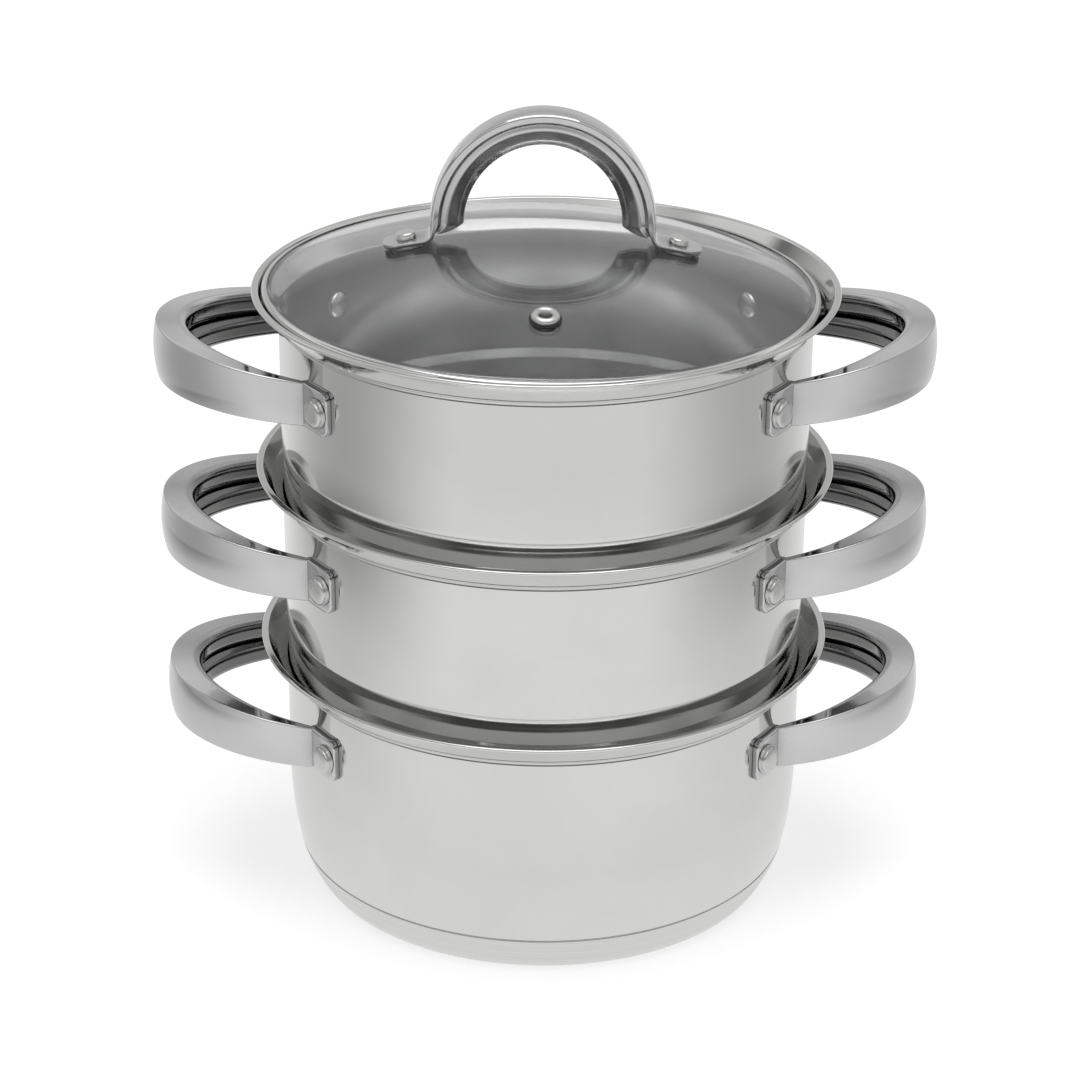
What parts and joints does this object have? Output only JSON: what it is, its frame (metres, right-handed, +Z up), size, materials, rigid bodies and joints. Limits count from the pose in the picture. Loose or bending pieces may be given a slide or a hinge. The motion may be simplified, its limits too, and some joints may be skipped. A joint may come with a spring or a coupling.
{
  "type": "steamer pot",
  "caption": "Stock pot with capsule base, riveted loop handles, nesting perforated steamers and a glass lid with arched handle and steam vent.",
  "frame": {"origin": "middle of the pot's flat underside, on the hob", "axes": "+Z up along the vessels' axis, side handles along X, +Y towards the back of the view in the picture"},
  "size_m": [0.2662, 0.1988, 0.2785],
  "materials": {
    "polished_steel": "mirror-polished stainless steel",
    "brushed_base": "fine circular brushing",
    "core_aluminium": "as cast, hidden",
    "handle_steel": "polished stainless steel",
    "rivet_steel": "satin-polished stainless steel",
    "clear_glass": "clear tempered glass",
    "clear_silicone": "translucent silicone",
    "dark_silicone": "matte dark silicone"
  },
  "bodies": {
    "pot": {"pot_shell": "polished_steel", "pot_base_core": "core_aluminium", "pot_base_cap": "brushed_base", "pot_handle_left": "handle_steel", "pot_handle_right": "handle_steel", "pot_rivets_left": "rivet_steel", "pot_rivets_right": "rivet_steel"},
    "lower_steamer": {"lower_steamer_shell": "polished_steel", "lower_steamer_handle_left": "handle_steel", "lower_steamer_handle_right": "handle_steel", "lower_steamer_rivets_left": "rivet_steel", "lower_steamer_rivets_right": "rivet_steel"},
    "upper_steamer": {"upper_steamer_shell": "polished_steel", "upper_steamer_handle_left": "handle_steel", "upper_steamer_handle_right": "handle_steel", "upper_steamer_rivets_left": "rivet_steel", "upper_steamer_rivets_right": "rivet_steel"},
    "lid": {"lid_glass": "clear_glass", "lid_band": "polished_steel", "lid_handle": "handle_steel", "lid_handle_rivets": "rivet_steel", "lid_handle_pads": "clear_silicone", "lid_handle_washers": "clear_silicone", "steam_vent": "rivet_steel", "vent_gasket": "dark_silicone"}
  },
  "joints": [
    {"name": "lower_steamer_lift", "type": "slide", "parent": "pot", "child": "lower_steamer", "axis": [0, 0, 1], "range_m": [0, 0.12]},
    {"name": "upper_steamer_lift", "type": "slide", "parent": "lower_steamer", "child": "upper_steamer", "axis": [0, 0, 1], "range_m": [0, 0.12]},
    {"name": "lid_lift", "type": "slide", "parent": "upper_steamer", "child": "lid", "axis": [0, 0, 1], "range_m": [0, 0.1]}
  ]
}
